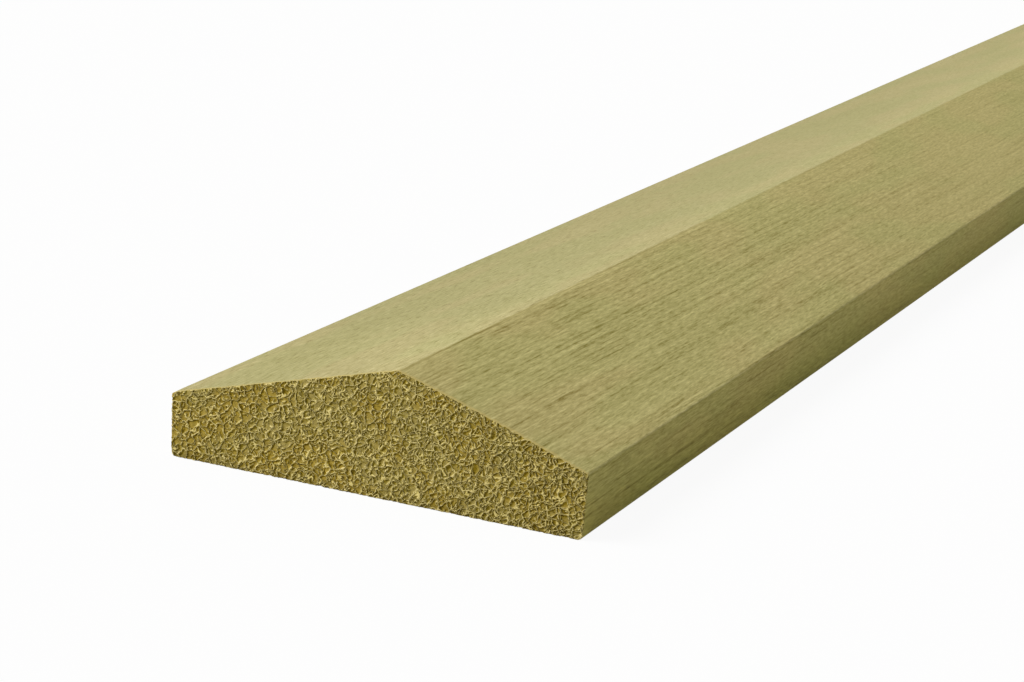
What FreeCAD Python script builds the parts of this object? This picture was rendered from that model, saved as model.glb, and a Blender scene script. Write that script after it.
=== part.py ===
import FreeCAD, Part
import math
import os
import Sketcher

# Capping rail: one planed length of softwood that weathers both ways from a ridge.
# Millimetres. X runs across the rail, Y along it and Z up. The origin is the middle
# of the flat underside, and the end at the low Y is the one nearest the viewer.

# Driving sizes: name, value in millimetres, what the size is
SIZES = [
    ("rail_width", 70.0, "Finished width across the flat underside"),
    ("rail_length", 1830.0, "Length between the two square saw cuts"),
    ("ridge_height", 20.5, "Underside to the top of the ridge"),
    ("edge_height", 10.25, "Height of the two upright edges"),
    ("ridge_from_left", 37.8, "Left upright edge to the line of the ridge"),
    ("ridge_round", 1.2, "Radius that takes the sharpness off the ridge"),
    ("shoulder_round", 0.4, "Radius where each slope meets its upright edge"),
    ("underside_round", 0.8, "Radius of the two arrises along the underside"),
]

SAME_PLACE = 1e-4

# Points of a line or an arc, as a sketch numbers them from 1
START, END, CENTRE = range(1, 4)

# The sketch's own origin, as its constraints name it
ORIGIN_POINT = (-1, START)


def add_size_sheet(doc):
    """The driving sizes, one to a row: value, name and meaning."""
    sheet = doc.addObject("Spreadsheet::Sheet", "Sizes")
    for row, (name, value, meaning) in enumerate(SIZES, start=1):
        sheet.set(f"A{row}", str(value))
        sheet.setAlias(f"A{row}", name)
        sheet.set(f"B{row}", name)
        sheet.set(f"C{row}", meaning)
    doc.recompute()
    return sheet


def origin_plane(body, role):
    """The body's own plane that has this role."""
    return next(plane for plane in body.Origin.OriginFeatures if plane.Role == role)


def section_point(across, up):
    """A point of the section, in the sketch's plane."""
    return FreeCAD.Vector(across, up, 0)


def touch_angle(centre, radius, shoulder, side):
    """Where, round the ridge's circle, a straight slope from this shoulder touches it."""
    way = shoulder - centre
    return math.atan2(way.y, way.x) + side * math.acos(radius / way.Length)


def ridge_arc(sheet, left_shoulder, right_shoulder):
    """The arc that rounds the ridge, from the right slope over to the left one."""
    radius = sheet.ridge_round
    across = left_shoulder.x + sheet.ridge_from_left
    centre = section_point(across, sheet.ridge_height - radius)
    first = touch_angle(centre, radius, right_shoulder, 1)
    last = touch_angle(centre, radius, left_shoulder, -1)
    circle = Part.Circle(centre, FreeCAD.Vector(0, 0, 1), radius)
    return Part.ArcOfCircle(circle, first, last)


def draw_section(body, sheet):
    """The rail's section, on the upright plane across its length."""
    sketch = body.newObject("Sketcher::SketchObject", "RailSection")
    sketch.AttachmentSupport = [(origin_plane(body, "XZ_Plane"), "")]
    sketch.MapMode = "FlatFace"

    half = sheet.rail_width / 2
    bottom_left = section_point(-half, 0)
    bottom_right = section_point(half, 0)
    right_shoulder = section_point(half, sheet.edge_height)
    left_shoulder = section_point(-half, sheet.edge_height)
    arc = ridge_arc(sheet, left_shoulder, right_shoulder)

    underside = sketch.addGeometry(Part.LineSegment(bottom_left, bottom_right))
    right_edge = sketch.addGeometry(Part.LineSegment(bottom_right, right_shoulder))
    right_slope = sketch.addGeometry(Part.LineSegment(right_shoulder, arc.StartPoint))
    ridge = sketch.addGeometry(arc)
    left_slope = sketch.addGeometry(Part.LineSegment(arc.EndPoint, left_shoulder))
    left_edge = sketch.addGeometry(Part.LineSegment(left_shoulder, bottom_left))

    join_section(sketch, underside, right_edge, right_slope, ridge, left_slope, left_edge)
    size_section(sketch, underside, right_edge, ridge, left_edge)
    return sketch


def join_section(sketch, underside, right_edge, right_slope, ridge, left_slope, left_edge):
    """Joins the sides end to end, squares the edges and centres the underside."""
    add = sketch.addConstraint
    add(Sketcher.Constraint("Coincident", underside, END, right_edge, START))
    add(Sketcher.Constraint("Coincident", right_edge, END, right_slope, START))
    add(Sketcher.Constraint("Tangent", right_slope, END, ridge, START))
    add(Sketcher.Constraint("Tangent", ridge, END, left_slope, START))
    add(Sketcher.Constraint("Coincident", left_slope, END, left_edge, START))
    add(Sketcher.Constraint("Coincident", left_edge, END, underside, START))
    add(Sketcher.Constraint("Vertical", right_edge))
    add(Sketcher.Constraint("Vertical", left_edge))
    add(Sketcher.Constraint("Equal", left_edge, right_edge))
    add(Sketcher.Constraint("Horizontal", underside))
    add(Sketcher.Constraint("Symmetric", underside, START, underside, END, *ORIGIN_POINT))


def size_section(sketch, underside, right_edge, ridge, left_edge):
    """Ties each dimension of the section to the sheet."""
    centre_height = "Sizes.ridge_height - Sizes.ridge_round"
    bound = [
        ("width", "DistanceX", (underside, START, underside, END), "Sizes.rail_width"),
        ("upright", "DistanceY", (right_edge, START, right_edge, END), "Sizes.edge_height"),
        ("ridge_place", "DistanceX", (left_edge, END, ridge, CENTRE), "Sizes.ridge_from_left"),
        ("ridge_centre", "DistanceY", (*ORIGIN_POINT, ridge, CENTRE), centre_height),
        ("ridge_radius", "Radius", (ridge,), "Sizes.ridge_round"),
    ]
    for name, kind, places, formula in bound:
        value = sketch.evalExpression(formula)
        index = sketch.addConstraint(Sketcher.Constraint(kind, *places, float(value)))
        sketch.renameConstraint(index, name)
        sketch.setExpression(f"Constraints.{name}", formula)


def run_length(body, sketch):
    """The section carried along the rail, half each way from the middle."""
    length = body.newObject("PartDesign::Pad", "RailLength")
    length.Profile = sketch
    length.SideType = "Symmetric"
    length.setExpression("Length", "Sizes.rail_length")
    return length


def long_edges(shape, height):
    """Names of the edges that run along the rail at this height, at its two sides."""
    side = shape.BoundBox.XMax
    found = []
    for number, edge in enumerate(shape.Edges, start=1):
        box = edge.BoundBox
        along = box.YLength > shape.BoundBox.YLength / 2
        at_side = abs(abs(box.Center.x) - side) < SAME_PLACE
        if along and at_side and abs(box.Center.z - height) < SAME_PLACE:
            found.append(f"Edge{number}")
    return found


def ease_arrises(doc, body, base, name, height, size_name):
    """Rounds the pair of long arrises at this height."""
    eased = body.newObject("PartDesign::Fillet", name)
    eased.Base = (base, long_edges(base.Shape, height))
    eased.setExpression("Radius", f"Sizes.{size_name}")
    doc.recompute()
    return eased


def make_rail(doc, sheet):
    """The whole rail: section, length and softened arrises."""
    body = doc.addObject("PartDesign::Body", "CappingRail")
    body.Label = "capping_rail"
    sketch = draw_section(body, sheet)
    length = run_length(body, sketch)
    doc.recompute()
    shoulders = ease_arrises(doc, body, length, "ShoulderArrises", sheet.edge_height, "shoulder_round")
    ease_arrises(doc, body, shoulders, "UndersideArrises", 0, "underside_round")
    body.Placement = FreeCAD.Placement()
    return body


def check_document(doc, pieces):
    """Stops before anything is written if an object or a solid is at fault."""
    for item in doc.Objects:
        if "Invalid" in item.State or "Error" in item.State:
            raise RuntimeError(f"{item.Name} did not build: {item.State}")
    for piece in pieces:
        if piece.Shape.isNull() or not piece.Shape.isValid():
            raise RuntimeError(f"{piece.Label} has no valid solid")
        if len(piece.Shape.Solids) != 1:
            raise RuntimeError(f"{piece.Label} is not one solid")


def main():
    doc = FreeCAD.newDocument("CappingRail")
    sheet = add_size_sheet(doc)
    pieces = [make_rail(doc, sheet)]
    doc.recompute()
    check_document(doc, pieces)
    os.makedirs("parts", exist_ok=True)
    for piece in pieces:
        piece.Shape.exportStep(f"parts/{piece.Label}.step")


main()
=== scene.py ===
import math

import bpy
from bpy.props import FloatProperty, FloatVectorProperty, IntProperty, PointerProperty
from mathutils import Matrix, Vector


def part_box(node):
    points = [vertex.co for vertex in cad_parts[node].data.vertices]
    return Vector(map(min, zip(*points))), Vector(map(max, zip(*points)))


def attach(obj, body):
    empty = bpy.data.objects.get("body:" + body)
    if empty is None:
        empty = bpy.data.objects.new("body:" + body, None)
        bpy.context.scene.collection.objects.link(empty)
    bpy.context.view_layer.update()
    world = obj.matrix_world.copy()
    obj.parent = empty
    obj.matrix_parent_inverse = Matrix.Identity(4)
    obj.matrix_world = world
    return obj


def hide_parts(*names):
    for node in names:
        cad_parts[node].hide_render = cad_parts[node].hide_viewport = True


bl_info = {
    "name": "Capping rail",
    "version": (1, 0, 0),
    "blender": (4, 5, 0),
    "location": "3D View > Sidebar > Capping rail",
    "description": "Dresses a treated softwood capping rail and sets its plain studio stage",
    "category": "Object",
}

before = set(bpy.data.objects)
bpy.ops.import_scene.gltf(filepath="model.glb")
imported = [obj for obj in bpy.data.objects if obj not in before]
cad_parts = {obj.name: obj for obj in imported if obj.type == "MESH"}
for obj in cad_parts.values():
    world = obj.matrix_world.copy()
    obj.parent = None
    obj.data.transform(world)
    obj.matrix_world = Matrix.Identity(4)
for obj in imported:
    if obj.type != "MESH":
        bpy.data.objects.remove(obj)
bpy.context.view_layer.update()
RAIL_NODE = "capping_rail"

MM = 0.001
TO_MM = 1000.0
PIECE_NAME = "dressed_rail"
END_MARK = "end_grain"

LOW_CORNER, HIGH_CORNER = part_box(RAIL_NODE)
RAIL_WIDTH = HIGH_CORNER[0] - LOW_CORNER[0]
RAIL_LENGTH = HIGH_CORNER[1] - LOW_CORNER[1]
RIDGE_HEIGHT = HIGH_CORNER[2] - LOW_CORNER[2]
HALF_WIDTH = RAIL_WIDTH / 2
HALF_LENGTH = RAIL_LENGTH / 2


# Sizes and colours that a user would change

class RailSizes(bpy.types.PropertyGroup):
    """Sizes of the rail's section, its relief and its mesh."""

    edge_height: FloatProperty(
        name="Edge height", description="Height of the two upright edges",
        default=10.25 * MM, subtype="DISTANCE", unit="LENGTH")
    ridge_from_left: FloatProperty(
        name="Ridge from left", description="Left upright edge to the line of the ridge",
        default=37.8 * MM, subtype="DISTANCE", unit="LENGTH")
    ridge_round: FloatProperty(
        name="Ridge round", description="Radius that takes the sharpness off the ridge",
        default=1.2 * MM, subtype="DISTANCE", unit="LENGTH")
    shoulder_round: FloatProperty(
        name="Shoulder round", description="Radius where each slope meets its upright edge",
        default=0.4 * MM, subtype="DISTANCE", unit="LENGTH")
    underside_round: FloatProperty(
        name="Underside round", description="Radius of the two arrises along the underside",
        default=0.8 * MM, subtype="DISTANCE", unit="LENGTH")
    slope_crown: FloatProperty(
        name="Slope crown", description="How far the planed right slope swells above a flat",
        default=0.35 * MM, subtype="DISTANCE", unit="LENGTH")
    left_lean: FloatProperty(
        name="Left lean", description="How far the foot of the left upright edge stands in from its top",
        default=0.65 * MM, subtype="DISTANCE", unit="LENGTH")
    end_relief: FloatProperty(
        name="End relief", description="Depth of the crazed surface that the saw left on the ends",
        default=0.28 * MM, subtype="DISTANCE", unit="LENGTH")
    torn_edge: FloatProperty(
        name="Torn edge", description="How far torn fibres bite into the edges at each end",
        default=0.12 * MM, subtype="DISTANCE", unit="LENGTH")
    columns: IntProperty(
        name="Columns", description="Vertices across the rail", default=396)
    rows: IntProperty(
        name="Rows", description="Vertices from the underside to the slopes", default=98)
    stations: IntProperty(
        name="Stations", description="Vertices along the rail", default=22)
    seed: FloatProperty(
        name="Seed", description="Shifts every random pattern of the sawn ends", default=3.7)


class RailFinish(bpy.types.PropertyGroup):
    """Colours of the treated timber, some with painted light and shade in them."""

    left_slope_outer: FloatVectorProperty(
        name="Left slope, outer", description="Left planed face by its upright edge",
        subtype="COLOR", size=3, default=(0.418, 0.372, 0.160))
    # Painted light: the left slope grows lighter towards the ridge
    left_slope_ridge_lit: FloatVectorProperty(
        name="Left slope, ridge", description="Left planed face by the ridge",
        subtype="COLOR", size=3, default=(0.452, 0.405, 0.18))
    right_slope: FloatVectorProperty(
        name="Right slope", description="Right planed face",
        subtype="COLOR", size=3, default=(0.490, 0.430, 0.164))
    # The upright edges are a little darker than the slopes, partly as painted shade
    upright_high: FloatVectorProperty(
        name="Upright edge, high", description="Upright edges under the slopes",
        subtype="COLOR", size=3, default=(0.396, 0.343, 0.095))
    # Painted shade: the upright edges darken towards the underside, where the arris turns down to the
    # floor
    upright_low_shaded: FloatVectorProperty(
        name="Upright edge, low", description="Upright edges by the underside",
        subtype="COLOR", size=3, default=(0.355, 0.318, 0.068))
    # Painted highlight: the pale rim along the arris where each planed slope meets a sawn end
    cut_rim_highlight: FloatVectorProperty(
        name="Cut rim", description="Pale rim of the planed faces where the saw cut them",
        subtype="COLOR", size=3, default=(0.60, 0.48, 0.165))
    end_golden: FloatVectorProperty(
        name="End, golden", description="Golden parts of the sawn ends",
        subtype="COLOR", size=3, default=(0.360, 0.262, 0.044))
    end_olive: FloatVectorProperty(
        name="End, olive", description="Greener parts of the sawn ends",
        subtype="COLOR", size=3, default=(0.380, 0.302, 0.084))
    # Partly the fibres' own pale colour and partly painted highlight where they catch the key light
    end_fibre_and_highlight: FloatVectorProperty(
        name="Raised fibre", description="Pale raised fibres of the sawn ends",
        subtype="COLOR", size=3, default=(1.0, 0.85, 0.40))
    # Painted shade: the dark colour of the trenches, which lie on the side of each fibre away from the
    # key light and are also sunk into the relief
    end_trench_shade: FloatVectorProperty(
        name="Trench", description="Dark trenches beside the fibres of the sawn ends",
        subtype="COLOR", size=3, default=(0.070, 0.042, 0.0))


class StageSizes(bpy.types.PropertyGroup):
    """Camera and light of the plain studio."""

    camera_right: FloatProperty(
        name="Camera right", description="Camera to the right of the rail's centre line",
        default=173.7 * MM, subtype="DISTANCE", unit="LENGTH")
    camera_before: FloatProperty(
        name="Camera before", description="Camera in front of the near end",
        default=405.6 * MM, subtype="DISTANCE", unit="LENGTH")
    camera_height: FloatProperty(
        name="Camera height", description="Camera above the underside",
        default=135.05 * MM, subtype="DISTANCE", unit="LENGTH")
    camera_turn: FloatProperty(
        name="Camera turn", description="Turn to the left from looking along the rail",
        default=math.radians(20.64), subtype="ANGLE", unit="ROTATION")
    camera_dip: FloatProperty(
        name="Camera dip", description="Downward tilt of the camera",
        default=math.radians(13.82), subtype="ANGLE", unit="ROTATION")
    camera_roll: FloatProperty(
        name="Camera roll", description="Roll of the camera about its own line of sight",
        default=math.radians(5.333), subtype="ANGLE", unit="ROTATION")
    lens: FloatProperty(
        name="Lens", description="Focal length of the camera",
        default=105.5, subtype="DISTANCE_CAMERA", unit="CAMERA")
    key_strength: FloatProperty(
        name="Key strength", description="Strength of the soft key light", default=2.64)
    fill_strength: FloatProperty(
        name="Fill strength", description="Strength of the even light from all round", default=0.30)


# Short ways to add and join nodes

class Wire:
    """One output of a node, written in formulas as if it were a number."""

    def __init__(self, bench, socket):
        self.bench = bench
        self.socket = socket

    def __add__(self, other):
        return self.bench.math("ADD", self, other)

    def __sub__(self, other):
        return self.bench.math("SUBTRACT", self, other)

    def __rsub__(self, other):
        return self.bench.math("SUBTRACT", other, self)

    def __mul__(self, other):
        return self.bench.math("MULTIPLY", self, other)

    def __truediv__(self, other):
        return self.bench.math("DIVIDE", self, other)

    __radd__ = __add__
    __rmul__ = __mul__


class Bench:
    """Adds nodes to one tree and joins them up."""

    def __init__(self, tree):
        self.tree = tree

    def feed(self, socket, value):
        """Sets a socket to a number, or joins a wire to it."""
        if isinstance(value, Wire):
            self.tree.links.new(value.socket, socket)
        else:
            socket.default_value = value

    def node(self, kind, inputs=(), **settings):
        """A new node with its settings, and its inputs as (name or number, value) pairs."""
        node = self.tree.nodes.new(kind)
        for name, value in settings.items():
            setattr(node, name, value)
        for socket, value in dict(inputs).items():
            self.feed(node.inputs[socket], value)
        return node

    def wire(self, node, output=0):
        """One output of a node."""
        return Wire(self, node.outputs[output])

    def math(self, operation, *values):
        """A Math node on these values."""
        return self.wire(self.node("ShaderNodeMath", enumerate(values), operation=operation))

    def vector_math(self, operation, *values):
        """A Vector Math node on these values."""
        return self.wire(self.node("ShaderNodeVectorMath", enumerate(values), operation=operation))

    def scaled(self, vector, factor):
        """A vector times a number."""
        inputs = {"Vector": vector, "Scale": factor}
        return self.wire(self.node("ShaderNodeVectorMath", inputs, operation="SCALE"))

    def ramp(self, value, low, high, start=0.0, end=1.0):
        """A smooth step from start to end, while the value goes from low to high."""
        inputs = {"Value": value, "From Min": low, "From Max": high, "To Min": start, "To Max": end}
        return self.wire(self.node("ShaderNodeMapRange", inputs, interpolation_type="SMOOTHSTEP"))

    def fade(self, value, low, high):
        """A smooth fall from 1 to 0, while the value goes from low to high."""
        return self.ramp(value, low, high, start=1.0, end=0.0)

    def parts(self, vector):
        """The X, Y and Z of a vector."""
        node = self.node("ShaderNodeSeparateXYZ", {"Vector": vector})
        return [self.wire(node, axis) for axis in "XYZ"]

    def vector(self, x, y, z):
        """A vector from three values."""
        return self.wire(self.node("ShaderNodeCombineXYZ", {"X": x, "Y": y, "Z": z}))

    def noise(self, place, scale, detail=1.0, roughness=0.5, output="Fac"):
        """Noise about 0.5."""
        inputs = {"Vector": place, "Scale": scale, "Detail": detail, "Roughness": roughness}
        return self.wire(self.node("ShaderNodeTexNoise", inputs), output)

    def cell_gap(self, place, across):
        """How far a place is from the walls of flat cells this wide, by its X and Y alone."""
        inputs = {"Vector": place, "Scale": 1.0 / across}
        settings = {"feature": "DISTANCE_TO_EDGE", "voronoi_dimensions": "2D"}
        return self.wire(self.node("ShaderNodeTexVoronoi", inputs, **settings), "Distance") * across

    def bent(self, place, scale, reach):
        """A place pushed about by noise, up to half of reach each way."""
        push = self.vector_math("SUBTRACT", self.noise(place, scale, output="Color"), (0.5, 0.5, 0.5))
        return self.vector_math("ADD", place, self.scaled(push, reach))

    def mixed(self, factor, first, second):
        """A blend of two colours."""
        node = self.tree.nodes.new("ShaderNodeMix")
        node.data_type = "RGBA"
        self.feed(node.inputs["Factor"], factor)
        for name, value in (("A_Color", first), ("B_Color", second)):
            socket = next(s for s in node.inputs if s.identifier == name)
            self.feed(socket, value)
        return Wire(self, next(s for s in node.outputs if s.type == "RGBA"))


# The crazed pattern of a sawn end, which the mesh and its finish share

# How far each form reaches from the middle of its line, in millimetres
FIBRE_REACH = 0.105
MOUND_REACH = 0.19
TRENCH_REACH = 0.20
# A shaded flank is a band of painted shade on the side of each fibre away from the key light
FLANK_REACH = 0.32

# The step from a trench to the fibre that shades it, in millimetres
TRENCH_TO_FIBRE = (-0.22, 0.12, 0.0)

# Widths of the cells of the two nets, in millimetres
COARSE_CELLS = 1.5
FINE_CELLS = 1.15

# Turns a difference of the curls' noise into millimetres
CURL_SPREAD = 1.2

# How much of the painted shade of a flank a fibre covers
FIBRE_COVER = 0.85

# How far a step of the seed shifts a pattern, and how far apart the seeds of the two ends are
SEED_STRIDE = 9.0
ENDS_APART = 5.0


def fibres_from(bench, gap, behind, share):
    """Fibres and mounds by one distance, trenches and shaded flanks by the other, each 0 to share; the
    flanks carry painted shade.
    """
    reaches = ((gap, FIBRE_REACH), (gap, MOUND_REACH), (behind, TRENCH_REACH), (behind, FLANK_REACH))
    return [bench.fade(distance, 0.0, reach) * share for distance, reach in reaches]


def highest(bench, layers):
    """The greatest of several values."""
    top = layers[0]
    for layer in layers[1:]:
        top = bench.math("MAXIMUM", top, layer)
    return top


def crazed_end(bench, across, up, shift):
    """Fibres, mounds, trenches and shaded flanks of a sawn end, each 0 to 1, from a place in
    millimetres; the shaded flanks are where shade is painted.
    """
    place = bench.vector(across + shift * SEED_STRIDE, up, shift)
    bent = bench.bent(bench.bent(place, scale=0.5, reach=1.7), scale=1.5, reach=0.6)
    dragged = bench.vector_math("ADD", bent, TRENCH_TO_FIBRE)

    # The coarse net thins out in spots, the fine one comes in patches, more of them to the right
    coarse = bench.ramp(bench.noise(place, 1.0), 0.34, 0.44, start=0.35)
    fine = bench.ramp(bench.noise(place, 0.8) + across * 0.005, 0.44, 0.52, end=0.95)
    layers = []
    for cells, share in ((COARSE_CELLS, coarse), (FINE_CELLS, fine)):
        gaps = [bench.cell_gap(at, cells) for at in (bent, dragged)]
        layers.append(fibres_from(bench, *gaps, share))

    # Loose curls lie along the places where a noise crosses its middle
    loose = bench.ramp(bench.noise(place, 0.9), 0.48, 0.58, start=0.85, end=0.0)
    folds = [bench.noise(at, 1.4, detail=0.0) - 0.5 for at in (bent, dragged)]
    curls = [bench.math("ABSOLUTE", fold) * CURL_SPREAD for fold in folds]
    layers.append(fibres_from(bench, *curls, loose))

    fibres, mounds, trenches, shaded_flanks = (highest(bench, kind) for kind in zip(*layers))
    deep = bench.ramp(bench.noise(bent, 2.0), 0.38, 0.55, start=0.45)
    return fibres, mounds, trenches * (1.0 - fibres) * deep, shaded_flanks * (1.0 - fibres * FIBRE_COVER)


# The rail's shape, as a Geometry Nodes tree

# The block reaches from -1 to 1 each way, and its faces past this are the sawn ends
END_LEVEL = 0.99999

# Powers that crowd the stations towards the ends and keep the torn fibres to the edges
STATION_CROWDING = 3.5
EDGE_SHARPNESS = 12.0

# How far along the rail the relief of an end and its torn edges fade out
RELIEF_FADE = 4.0 * MM
TORN_FADE = 1.5 * MM

# What mounds and trenches each give of the end's relief
MOUND_RELIEF = 0.65
TRENCH_RELIEF = 0.35

# A smooth minimum of two equal values lies below them by its distance over this
SMOOTH_DIP = 6.0


def add_inputs(tree, sizes):
    """Named inputs of the tree, with the rail's sizes as their defaults."""
    kinds = {float: "NodeSocketFloat", int: "NodeSocketInt"}
    tree.interface.new_socket("Geometry", in_out="INPUT", socket_type="NodeSocketGeometry")
    for name, value in sizes.items():
        item = tree.interface.new_socket(name, in_out="INPUT", socket_type=kinds[type(value)])
        item.default_value = value
    tree.interface.new_socket("Material", in_out="INPUT", socket_type="NodeSocketMaterial")
    tree.interface.new_socket("Geometry", in_out="OUTPUT", socket_type="NodeSocketGeometry")


def slope_heights(bench, given, across):
    """Height of the two slopes over a place across the rail, eased together at the ridge."""
    half = given["Rail Width"] * 0.5
    climb = given["Peak Height"] - given["Edge Height"]
    left = given["Edge Height"] + climb * ((across + half) / (given["Peak Place"] + half))
    down_right = (half - across) / (half - given["Peak Place"])
    right = given["Edge Height"] + climb * down_right

    # The crown is a parabola, highest at the middle of the slope
    along_slope = bench.math("MINIMUM", bench.math("MAXIMUM", down_right, 0.0), 1.0)
    swell = given["Slope Crown"] * 4.0 * along_slope * (1.0 - along_slope)
    roof = bench.math("SMOOTH_MIN", left, right + swell, given["Ridge Ease"])
    return bench.math("MINIMUM", roof, given["Ridge Height"])


def eased_corner(bench, outward, upward, radius):
    """How far a place near a square corner moves back, so that the corner becomes round."""
    out = bench.math("MAXIMUM", outward + radius, 0.0)
    rise = bench.math("MAXIMUM", upward + radius, 0.0)
    reach = bench.math("SQRT", out * out + rise * rise)
    share = 1.0 - bench.math("MAXIMUM", out, rise) / bench.math("MAXIMUM", reach, 1e-9)
    return out * share, rise * share


def pressed_section(bench, given, side, level):
    """Place across and height of a point of the block, how far it moves in, and its eased height."""
    half = given["Rail Width"] * 0.5
    square = side * half
    roof = slope_heights(bench, given, square)
    up = (level + 1.0) * 0.5 * roof
    past_side = bench.math("ABSOLUTE", square) - half
    lean = given["Left Lean"] * (1.0 - level) * 0.5
    across = square + lean * bench.math("MAXIMUM", 0.0 - side, 0.0)
    low_in, low_up = eased_corner(bench, past_side, 0.0 - up, given["Underside Round"])
    high_in, high_down = eased_corner(bench, past_side, up - roof, given["Shoulder Round"])
    return across, up, low_in + high_in, up + low_up - high_down


def crazed_gap(bench, given, place, end_gap):
    """The distance from an end with the crazed relief in it, which fades out along the rail."""
    _, mounds, trenches, _ = crazed_end(bench, *place)
    sunk = (1.0 - mounds) * MOUND_RELIEF + trenches * TRENCH_RELIEF
    near_end = bench.fade(end_gap, 0.0, RELIEF_FADE)
    return end_gap + sunk * given["End Relief"] * near_end


def torn_depth(bench, given, place, end_gap):
    """How far torn fibres bite into the long edges, which fades out along the rail."""
    torn = bench.ramp(bench.noise(bench.vector(*place), 0.9, detail=2.0), 0.48, 0.72)
    return torn * given["Torn Edge"] * bench.fade(end_gap, 0.0, TORN_FADE)


def rail_place(bench, given, side, way, level):
    """Where a point of the block goes on the rail, with its stations crowded towards both ends."""
    across, up, inward, eased_up = pressed_section(bench, given, side, level)
    half_length = given["Rail Length"] * 0.5
    towards = bench.math("SIGN", way)
    from_end = 1.0 - bench.math("ABSOLUTE", way)
    end_gap = bench.math("POWER", from_end, STATION_CROWDING) * half_length

    place = (across * TO_MM, up * TO_MM, given["Seed"] + towards * ENDS_APART)
    end_gap = crazed_gap(bench, given, place, end_gap)
    torn = torn_depth(bench, given, place, end_gap)
    by_side = bench.math("POWER", bench.math("ABSOLUTE", side), EDGE_SHARPNESS)
    by_level = bench.math("POWER", bench.math("ABSOLUTE", level), EDGE_SHARPNESS)
    new_across = across - bench.math("SIGN", side) * (inward + torn * by_side)
    new_up = eased_up - bench.math("SIGN", level) * torn * by_level
    return bench.vector(new_across, towards * (half_length - end_gap), new_up)


def build_rail_tree(sizes):
    """A block of quads, pressed into the rail's section and roughened at its sawn ends."""
    tree = bpy.data.node_groups.new("Capping rail", "GeometryNodeTree")
    add_inputs(tree, sizes)
    bench = Bench(tree)
    entry = bench.node("NodeGroupInput")
    given = {name: bench.wire(entry, name) for name in sizes}

    counts = {"Size": (2.0, 2.0, 2.0), "Vertices X": given["Columns"],
              "Vertices Y": given["Stations"], "Vertices Z": given["Rows"]}
    block = bench.node("GeometryNodeMeshCube", counts)
    side, way, level = bench.parts(bench.wire(bench.node("GeometryNodeInputPosition")))
    at_end = bench.math("GREATER_THAN", bench.math("ABSOLUTE", way), END_LEVEL)
    marked = bench.node(
        "GeometryNodeStoreNamedAttribute",
        {"Geometry": bench.wire(block), "Name": END_MARK, "Value": at_end},
        data_type="FLOAT", domain="FACE")
    place = rail_place(bench, given, side, way, level)
    placed = bench.node("GeometryNodeSetPosition", {"Geometry": bench.wire(marked), "Position": place})
    smooth = bench.node("GeometryNodeSetShadeSmooth", {"Geometry": bench.wire(placed)})
    real = bench.node("GeometryNodeRealizeInstances", {"Geometry": bench.wire(smooth)})
    finished = bench.node(
        "GeometryNodeSetMaterial",
        {"Geometry": bench.wire(real), "Material": bench.wire(entry, "Material")})
    bench.node("NodeGroupOutput", {"Geometry": bench.wire(finished)})
    return tree


def peak_of_slopes(sizes):
    """Where the two slopes would meet if the ridge were sharp: place across and height."""
    ridge = sizes.ridge_from_left - HALF_WIDTH
    rise = RIDGE_HEIGHT - sizes.ridge_round - sizes.edge_height

    # Each slope runs from its upright edge and touches the circle of the rounded ridge
    slopes = []
    for run in (ridge + HALF_WIDTH, HALF_WIDTH - ridge):
        reach = math.hypot(run, rise)
        slopes.append(math.tan(math.atan2(rise, run) + math.asin(sizes.ridge_round / reach)))
    left, right = slopes
    place = HALF_WIDTH * (right - left) / (right + left)
    return place, sizes.edge_height + left * (place + HALF_WIDTH)


def rail_tree_sizes(sizes):
    """Values for the tree's named inputs."""
    place, height = peak_of_slopes(sizes)
    return {
        "Rail Width": RAIL_WIDTH,
        "Rail Length": RAIL_LENGTH,
        "Edge Height": sizes.edge_height,
        "Ridge Height": RIDGE_HEIGHT,
        "Peak Height": height,
        "Peak Place": place,
        "Ridge Ease": SMOOTH_DIP * (height - RIDGE_HEIGHT),
        "Shoulder Round": sizes.shoulder_round,
        "Underside Round": sizes.underside_round,
        "Slope Crown": sizes.slope_crown,
        "Left Lean": sizes.left_lean,
        "End Relief": sizes.end_relief,
        "Torn Edge": sizes.torn_edge,
        "Columns": sizes.columns,
        "Rows": sizes.rows,
        "Stations": sizes.stations,
        "Seed": sizes.seed,
    }


def mesh_from_tree(name, tree, values, material):
    """A plain mesh object of what the tree makes."""
    maker = bpy.data.objects.new(name + "_maker", bpy.data.meshes.new(name + "_maker"))
    bpy.context.scene.collection.objects.link(maker)
    modifier = maker.modifiers.new("Rail", "NODES")
    modifier.node_group = tree
    for item in tree.interface.items_tree:
        if item.in_out == "INPUT" and item.name in values:
            modifier[item.identifier] = values[item.name]
        if item.in_out == "INPUT" and item.name == "Material":
            modifier[item.identifier] = material
    graph = bpy.context.evaluated_depsgraph_get()
    mesh = bpy.data.meshes.new_from_object(maker.evaluated_get(graph))
    mesh.name = name
    maker.modifiers.remove(modifier)
    bpy.data.objects.remove(maker)
    piece = bpy.data.objects.new(name, mesh)
    bpy.context.scene.collection.objects.link(piece)
    return piece


# The finish of the timber

# How far the grain runs out of line, across the rail for each length along it
GRAIN_TILT = 0.012

# Heights of the finest relief, in millimetres
CUT_HEIGHT = 0.01
FLECK_HEIGHT = 0.02
MOUND_HEIGHT = 0.18
FIBRE_HEIGHT = 0.05
TRENCH_DEPTH = 0.08
MOTTLE_HEIGHT = 0.05

# Painted shade: what a shaded flank takes off red, green and blue, and how much of the painted shade in
# a trench shows
PAINTED_FLANK_SHADE = (0.15, 0.19, 0.80)
TRENCH_SHADE_STRENGTH = 0.60

# The dark line lies this far to the right of the ridge, in millimetres
RIDGE_LINE = 0.36

# From the first place across an end to the second, in millimetres, it darkens and its fibres dull
DULLING = (-5.0, 30.0)

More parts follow.
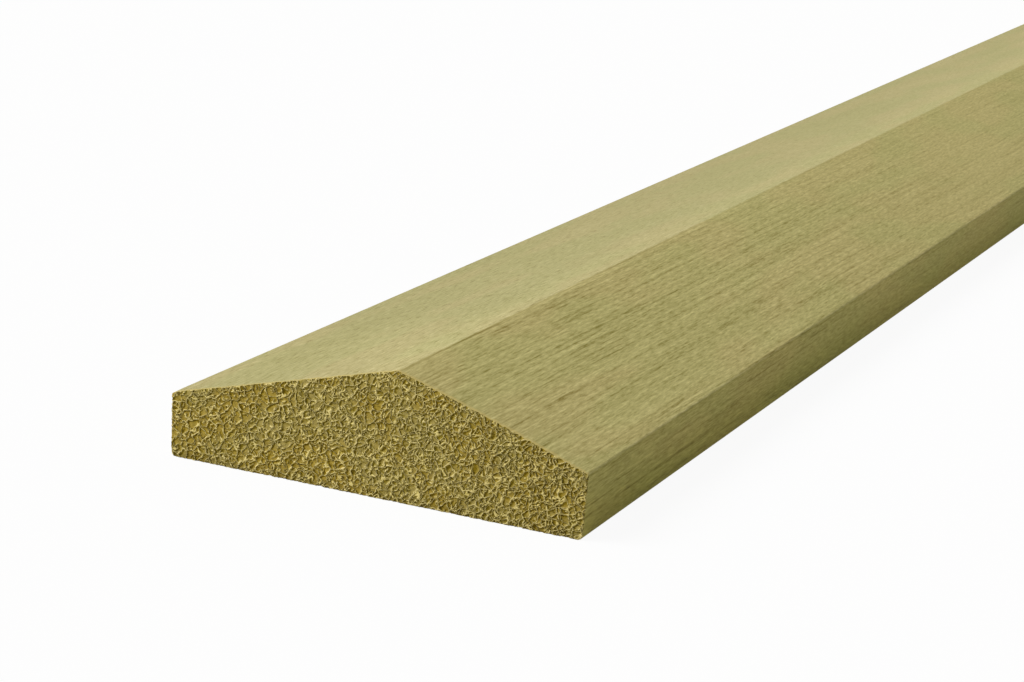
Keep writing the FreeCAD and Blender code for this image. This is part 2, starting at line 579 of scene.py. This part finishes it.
# How rough the planed timber shines, how much rougher its sawn ends do, and how strongly both do
PLANED_ROUGHNESS = 0.68
SAWN_ROUGHER = 0.2
SPECULAR_LEVEL = 0.08


def rgba(colour):
    """A colour with full alpha."""
    return (*colour, 1.0)


def along_grain(bench, place, stretch, scale, detail=1.0, roughness=0.5):
    """Noise about 0.5, drawn out along the rail: the smaller its stretch, the longer."""
    x, y, z = place
    return bench.noise(bench.vector(x, y * stretch, z), scale, detail, roughness)


def planed_grain(bench, x, y, z):
    """Patches, strands, flecks and cuts of planed timber, from a place in millimetres.

    The first three are about 0.5; a cut is below 0 in its line and above 0 at its lip.
    """
    sway = (along_grain(bench, (x, y, z), stretch=0.4, scale=0.05) - 0.5) * 1.2
    place = (x - y * GRAIN_TILT + sway, y, z)
    patches = along_grain(bench, place, stretch=0.25, scale=0.10)
    strands = along_grain(bench, place, stretch=0.008, scale=1.8)
    flecks = along_grain(bench, place, stretch=0.10, scale=3.4, detail=3.0, roughness=0.7)
    line = bench.fade(strands, 0.34, 0.44)
    lip = bench.ramp(strands, 0.56, 0.64)
    broken = bench.ramp(along_grain(bench, place, stretch=0.12, scale=0.9), 0.42, 0.58)
    return patches, strands, flecks, (lip * 0.4 - line) * broken


def planed_ground(bench, x, z, from_end, peak, finish):
    """Colour of the planed faces under their grain, with painted light towards the ridge and painted
    shade low on the upright edges; also where the right slope and the edges are.
    """
    side = HALF_WIDTH / MM
    # Painted light makes the left slope lighter towards the ridge
    to_ridge = bench.ramp(x, -side, peak)
    left = bench.mixed(to_ridge, rgba(finish.left_slope_outer), rgba(finish.left_slope_ridge_lit))
    by_end = bench.ramp(from_end, 20.0, 70.0, start=1.06, end=0.98)
    far_off = bench.ramp(from_end, 70.0, 240.0, start=1.0, end=0.96)
    # Painted light: a little lighter again within a few millimetres of the ridge
    ridge_light = bench.ramp(x, peak - 10.0, peak - 4.0, start=1.0, end=1.06)
    left = bench.scaled(left, by_end * far_off * ridge_light)
    # Painted shade darkens the upright edges towards the underside
    edge = bench.mixed(bench.ramp(z, 0.6, 8.5), rgba(finish.upright_low_shaded), rgba(finish.upright_high))

    on_right = bench.ramp(x, peak - 0.05, peak + 0.20)
    on_edge = bench.ramp(bench.math("ABSOLUTE", x), side - 0.25, side - 0.05)
    slopes = bench.mixed(on_right, left, rgba(finish.right_slope))
    return bench.mixed(on_edge, slopes, edge), on_right, on_edge


def planed_tone(bench, grain, rough, from_end, from_peak):
    """How much lighter than its ground the grain makes a place, below 0 where it is darker.

    The left slope is smoother than the rest, and the grain is keenest near the ends.
    """
    patches, strands, flecks, cuts = grain
    keen = bench.ramp(from_end, 30.0, 260.0, start=1.0, end=0.45)
    tone = (strands - 0.5) * (0.10 + rough * 0.40) + cuts * (0.03 + rough * 0.17)
    tone = tone * keen + (patches - 0.5) * 0.20
    even = bench.ramp(from_end, 60.0, 400.0, start=1.5, end=0.95) * (0.55 + rough * 0.45)
    pale_dashes = bench.ramp(flecks, 0.58, 0.64, end=0.6)
    dashes = pale_dashes - bench.fade(flecks, 0.36, 0.42)
    tone = tone + (flecks - 0.5) * even + dashes * (1.0 - rough) * keen * 0.22

    # A thin dark line, broken by the flecks, runs down the right side of the ridge
    from_line = bench.math("ABSOLUTE", from_peak - RIDGE_LINE)
    return tone - bench.fade(from_line, 0.05, 0.22) * bench.ramp(flecks, 0.35, 0.6) * keen * 0.20


def planed_colour(bench, x, y, z, finish, sizes):
    """Colour and height of the planed long faces, with a painted highlight along the arris at each end.
    """
    peak = peak_of_slopes(sizes)[0] / MM
    from_end = HALF_LENGTH / MM - bench.math("ABSOLUTE", y)
    ground, on_right, on_edge = planed_ground(bench, x, z, from_end, peak, finish)
    grain = planed_grain(bench, x, y, z)
    patches, _, flecks, cuts = grain
    rough = bench.math("MAXIMUM", on_right, on_edge)
    tone = planed_tone(bench, grain, rough, from_end, x - peak)
    tan = bench.ramp(patches, 0.42, 0.60, start=-0.012, end=0.012)
    shade = bench.vector(1.0 + tone + tan, 1.0 + tone * 1.06 - tan, 1.0 + tone * 1.5)
    planed = bench.vector_math("MULTIPLY", ground, shade)

    # Painted highlight along the arris at each end, on the slopes only
    rim_highlight = bench.ramp(from_end + (flecks - 0.5) * 2.0, 0.5, 1.3, start=0.8, end=0.0) * (1.0 - on_edge)
    planed = bench.mixed(rim_highlight, planed, rgba(finish.cut_rim_highlight))
    return planed, cuts * CUT_HEIGHT + flecks * FLECK_HEIGHT


def sawn_colour(bench, x, y, z, finish, sizes):
    """Colour and height of the sawn ends, with painted shade on their shaded flanks and in their
    trenches.
    """
    shift = sizes.seed + bench.math("SIGN", y) * ENDS_APART
    fibres, mounds, trenches, shaded_flanks = crazed_end(bench, x, z, shift)
    place = bench.vector(x, z, shift)
    golden = bench.ramp(bench.noise(place, 0.13, detail=2.0), 0.40, 0.60)
    cell = bench.mixed(golden, rgba(finish.end_olive), rgba(finish.end_golden))
    mottle = 1.0 + (bench.noise(place, 2.2, detail=3.0, roughness=0.7) - 0.5) * 1.3
    low = bench.ramp(z + bench.noise(place, 1.2), 0.6, 2.2, start=0.7)
    # Darker towards the right of each end, with a random tone on top
    darker_rightwards = bench.ramp(x, *DULLING, start=1.0, end=0.88) + (bench.noise(place, 0.14) - 0.5) * 0.3
    sawn = bench.scaled(cell, mottle * low * darker_rightwards)

    # Painted shade in the trenches, which are also real hollows in the relief
    sawn = bench.mixed(trenches * TRENCH_SHADE_STRENGTH, sawn, rgba(finish.end_trench_shade))
    # The raised fibres are painted pale, partly with painted highlight
    pale = bench.ramp(x, *DULLING, start=0.88, end=0.70)
    sawn = bench.mixed(fibres * pale, sawn, rgba(finish.end_fibre_and_highlight))
    # Painted shade on the side of each fibre away from the key light, which takes most of the blue
    shade = bench.vector(*(1.0 - shaded_flanks * share for share in PAINTED_FLANK_SHADE))
    sawn = bench.vector_math("MULTIPLY", sawn, shade)
    raised = mounds * MOUND_HEIGHT + fibres * FIBRE_HEIGHT
    return sawn, raised - trenches * TRENCH_DEPTH + mottle * MOTTLE_HEIGHT


def build_timber(sizes, finish):
    """Pressure-treated softwood: planed long faces and sawn ends in one material."""
    material = bpy.data.materials.new("Treated softwood")
    material.use_nodes = True
    tree = material.node_tree
    tree.nodes.clear()
    bench = Bench(tree)
    surface = bench.node("ShaderNodeBsdfPrincipled")
    place = bench.scaled(bench.wire(bench.node("ShaderNodeTexCoord"), "Object"), TO_MM)
    x, y, z = bench.parts(place)
    end = bench.wire(bench.node("ShaderNodeAttribute", attribute_name=END_MARK), "Fac")
    planed, planed_height = planed_colour(bench, x, y, z, finish, sizes)
    sawn, sawn_height = sawn_colour(bench, x, y, z, finish, sizes)
    bench.feed(surface.inputs["Base Color"], bench.mixed(end, planed, sawn))
    bench.feed(surface.inputs["Roughness"], PLANED_ROUGHNESS + end * SAWN_ROUGHER)
    surface.inputs["Specular IOR Level"].default_value = SPECULAR_LEVEL
    height = planed_height * (1.0 - end) + sawn_height * end
    bump = bench.node("ShaderNodeBump", {"Strength": 1.0, "Distance": MM, "Height": height})
    bench.feed(surface.inputs["Normal"], bench.wire(bump))
    bench.node("ShaderNodeOutputMaterial", {"Surface": bench.wire(surface)})
    return material


# The plain studio

# The floor's reach is in metres, and its whiteness is the share of plain white that the camera sees
FLOOR_REACH = 30.0
FLOOR_COLOUR = (0.9, 0.9, 0.9, 1.0)
FLOOR_WHITENESS = 0.93

# How wide the key light looks from the rail, and which way it lies
KEY_WIDTH = math.radians(35)
KEY_FROM = (-0.60, -0.38, 0.70)
FILL_COLOUR = (1.0, 0.985, 0.95, 1.0)

# Width of the camera's sensor, in millimetres as its lens, and the nearest place that it shows
SENSOR_WIDTH = 36.0
CLIP_START = 10.0 * MM


def white_to_camera(bench, shader, share):
    """Blends a shader towards plain white for the camera and for reflections only."""
    path = bench.node("ShaderNodeLightPath")
    seen = bench.wire(path, "Is Camera Ray")
    for name in ("Is Glossy Ray", "Is Transmission Ray"):
        seen = bench.math("MAXIMUM", seen, bench.wire(path, name))
    white = bench.node("ShaderNodeEmission", {"Color": (1.0, 1.0, 1.0, 1.0), "Strength": 1.0})
    inputs = {0: seen * share, 1: bench.wire(shader), 2: bench.wire(white)}
    return bench.wire(bench.node("ShaderNodeMixShader", inputs))


def build_floor():
    """A plain white floor that keeps a faint shadow."""
    mesh = bpy.data.meshes.new("floor")
    corners = [(-1, -1), (1, -1), (1, 1), (-1, 1)]
    mesh.from_pydata([(x * FLOOR_REACH, y * FLOOR_REACH, 0) for x, y in corners], [], [(0, 1, 2, 3)])
    floor = bpy.data.objects.new("floor", mesh)
    bpy.context.scene.collection.objects.link(floor)
    material = bpy.data.materials.new("Plain floor")
    material.use_nodes = True
    material.node_tree.nodes.clear()
    bench = Bench(material.node_tree)
    matt = bench.node("ShaderNodeBsdfDiffuse", {"Color": FLOOR_COLOUR})
    seen = white_to_camera(bench, matt, FLOOR_WHITENESS)
    bench.node("ShaderNodeOutputMaterial", {"Surface": seen})
    mesh.materials.append(material)


def build_world(stage):
    """Even light from all round, plain white where the camera looks past the floor."""
    world = bpy.data.worlds.new("Studio")
    bpy.context.scene.world = world
    world.use_nodes = True
    world.node_tree.nodes.clear()
    bench = Bench(world.node_tree)
    fill = bench.node("ShaderNodeBackground", {"Color": FILL_COLOUR, "Strength": stage.fill_strength})
    seen = white_to_camera(bench, fill, 1.0)
    bench.node("ShaderNodeOutputWorld", {"Surface": seen})


def build_key_light(stage):
    """One broad soft light from above, to the left and a little in front."""
    data = bpy.data.lights.new("key", "SUN")
    data.energy = stage.key_strength
    data.angle = KEY_WIDTH
    lamp = bpy.data.objects.new("key", data)
    lamp.rotation_euler = Vector(KEY_FROM).to_track_quat("Z", "Y").to_euler()
    bpy.context.scene.collection.objects.link(lamp)


def build_camera(stage):
    """The camera of the photograph."""
    turn, dip, roll = stage.camera_turn, stage.camera_dip, stage.camera_roll
    sight = Vector((-math.sin(turn) * math.cos(dip), math.cos(turn) * math.cos(dip), -math.sin(dip)))
    level = Vector((math.cos(turn), math.sin(turn), 0.0))
    upward = level.cross(sight)
    right = level * math.cos(roll) + upward * math.sin(roll)
    up = upward * math.cos(roll) - level * math.sin(roll)
    data = bpy.data.cameras.new("camera")
    data.sensor_width = SENSOR_WIDTH
    data.lens = stage.lens
    data.clip_start = CLIP_START
    camera = bpy.data.objects.new("camera", data)
    camera.matrix_world = Matrix((right, up, -sight)).transposed().to_4x4()
    camera.location = (stage.camera_right, -HALF_LENGTH - stage.camera_before, stage.camera_height)
    bpy.context.scene.collection.objects.link(camera)
    bpy.context.scene.camera = camera


# Operators, panel and registration

class RAIL_OT_dress(bpy.types.Operator):
    """Make the dressed rail with its sawn ends and treated finish"""

    bl_idname = "capping_rail.dress"
    bl_label = "Dress the rail"

    def execute(self, context):
        sizes = context.scene.rail_sizes
        values = rail_tree_sizes(sizes)
        material = build_timber(sizes, context.scene.rail_finish)
        piece = mesh_from_tree(PIECE_NAME, build_rail_tree(values), values, material)
        if not piece.data.polygons:
            raise RuntimeError("the rail's tree made no faces")
        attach(piece, "root")
        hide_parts(RAIL_NODE)
        return {"FINISHED"}


class RAIL_OT_stage(bpy.types.Operator):
    """Set the plain floor, soft light and camera"""

    bl_idname = "capping_rail.stage"
    bl_label = "Set the stage"

    def execute(self, context):
        stage = context.scene.rail_stage
        build_floor()
        build_world(stage)
        build_key_light(stage)
        build_camera(stage)
        context.scene.view_settings.view_transform = "Standard"
        return {"FINISHED"}


class RAIL_PT_panel(bpy.types.Panel):
    """Sizes, colours and steps of the capping rail"""

    bl_label = "Capping rail"
    bl_space_type = "VIEW_3D"
    bl_region_type = "UI"
    bl_category = "Capping rail"

    def draw(self, context):
        layout = self.layout
        scene = context.scene
        for group in (scene.rail_sizes, scene.rail_finish, scene.rail_stage):
            box = layout.box()
            for name in type(group).__annotations__:
                box.prop(group, name)
        for operator in (RAIL_OT_dress, RAIL_OT_stage):
            layout.operator(operator.bl_idname)


CLASSES = (RailSizes, RailFinish, StageSizes, RAIL_OT_dress, RAIL_OT_stage, RAIL_PT_panel)


def register():
    """Registers the classes and gives each scene its sizes and colours."""
    for entry in CLASSES:
        bpy.utils.register_class(entry)
    bpy.types.Scene.rail_sizes = PointerProperty(type=RailSizes)
    bpy.types.Scene.rail_finish = PointerProperty(type=RailFinish)
    bpy.types.Scene.rail_stage = PointerProperty(type=StageSizes)


def unregister():
    """Takes away what register adds."""
    del bpy.types.Scene.rail_sizes
    del bpy.types.Scene.rail_finish
    del bpy.types.Scene.rail_stage
    for entry in reversed(CLASSES):
        bpy.utils.unregister_class(entry)


def main():
    """Registers the add-on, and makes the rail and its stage."""
    register()
    bpy.ops.capping_rail.dress()
    bpy.ops.capping_rail.stage()


if __name__ == "__main__":
    main()
